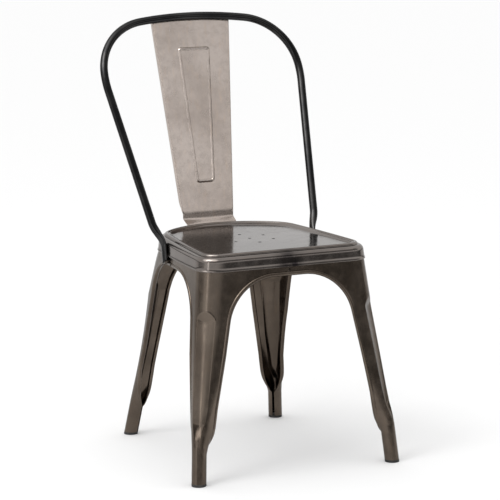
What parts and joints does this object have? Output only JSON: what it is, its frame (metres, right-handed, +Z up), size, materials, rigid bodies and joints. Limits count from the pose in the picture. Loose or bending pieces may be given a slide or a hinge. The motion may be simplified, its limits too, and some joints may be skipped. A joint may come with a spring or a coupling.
{
  "type": "bistro chair",
  "caption": "Pressed steel side chair: dished seat with a deep skirt, splayed fluted sheet legs, bent tube back and a tapering splat.",
  "frame": {"origin": "on the floor, under the middle of the whole chair", "axes": "+Z up, -Y towards the front edge of the seat, +Y towards the back, +X across the seat"},
  "size_m": [0.4438, 0.5068, 0.85],
  "materials": {
    "gunmetal_steel": "satin",
    "polished_seat_steel": "polished",
    "splat_steel": "satin",
    "hoop_steel": "polished",
    "black_rubber": "matte",
    "weld_metal": "satin"
  },
  "bodies": {
    "root": {"seat_pan": "polished_seat_steel", "front_left_leg": "gunmetal_steel", "front_right_leg": "gunmetal_steel", "rear_left_leg": "gunmetal_steel", "rear_right_leg": "gunmetal_steel", "back_hoop": "hoop_steel", "back_splat": "splat_steel", "brace_bar_upper": "gunmetal_steel", "brace_bar_lower": "gunmetal_steel", "front_left_foot": "black_rubber", "front_right_foot": "black_rubber", "rear_left_foot": "black_rubber", "rear_right_foot": "black_rubber", "front_arch_weld": "weld_metal", "rear_arch_weld": "weld_metal", "left_arch_weld": "weld_metal", "right_arch_weld": "weld_metal", "left_hoop_weld": "weld_metal", "right_hoop_weld": "weld_metal", "splat_top_weld": "weld_metal", "splat_bottom_weld": "weld_metal", "skirt_spot_welds": "weld_metal", "brace_welds": "weld_metal"}
  },
  "joints": []
}
